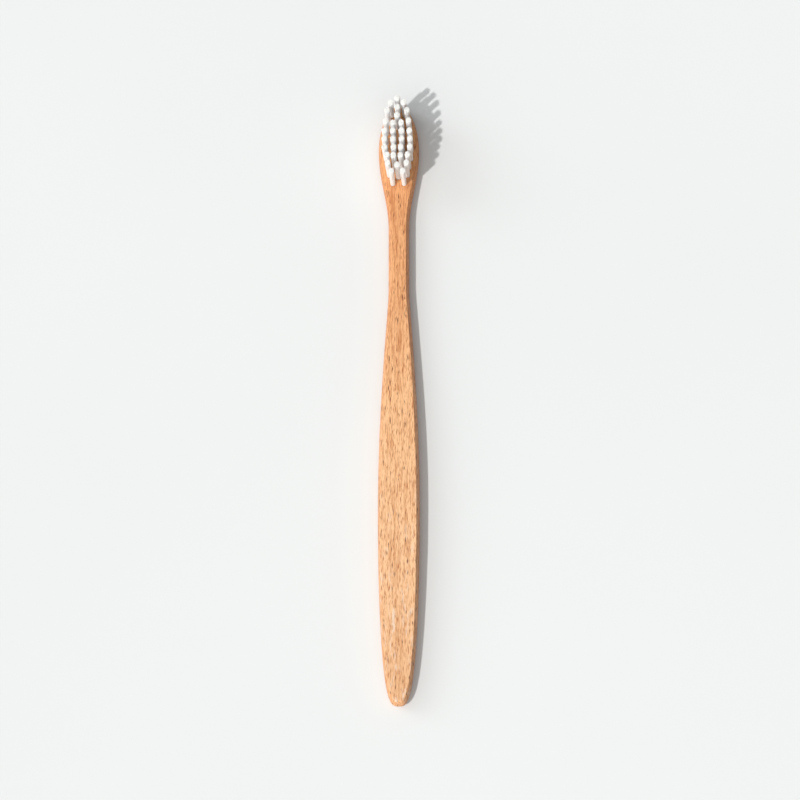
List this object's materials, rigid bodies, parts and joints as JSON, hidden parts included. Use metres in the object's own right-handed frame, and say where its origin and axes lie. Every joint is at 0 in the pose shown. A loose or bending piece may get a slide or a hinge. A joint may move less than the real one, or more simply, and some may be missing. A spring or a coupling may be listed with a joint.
{
  "type": "toothbrush",
  "caption": "Straight manual toothbrush with a tapered one-piece beech handle and an oval head of upright white bristle tufts.",
  "frame": {"origin": "centre of the brush's box, at the height of the handle's flat back", "axes": "+Z the way the bristles point, +Y along the handle from its foot to its head, +X to the right as the bristles face the viewer and the head is up"},
  "size_m": [0.0124, 0.19, 0.0155],
  "materials": {
    "beech": "fine-sanded beech, oiled, satin",
    "anchor_metal": "plain drawn strip",
    "bristle": "white nylon filament"
  },
  "bodies": {
    "root": {"handle": "beech", "anchors": "anchor_metal", "tuft_01": "bristle", "tuft_02": "bristle", "tuft_03": "bristle", "tuft_04": "bristle", "tuft_05": "bristle", "tuft_06": "bristle", "tuft_07": "bristle", "tuft_08": "bristle", "tuft_09": "bristle", "tuft_10": "bristle", "tuft_11": "bristle", "tuft_12": "bristle", "tuft_13": "bristle", "tuft_14": "bristle", "tuft_15": "bristle", "tuft_16": "bristle", "tuft_17": "bristle", "tuft_18": "bristle", "tuft_19": "bristle", "tuft_20": "bristle", "tuft_21": "bristle", "tuft_22": "bristle", "tuft_23": "bristle", "tuft_24": "bristle", "tuft_25": "bristle", "tuft_26": "bristle", "tuft_27": "bristle", "tuft_28": "bristle", "tuft_29": "bristle", "tuft_30": "bristle", "tuft_31": "bristle", "tuft_32": "bristle"}
  },
  "joints": []
}
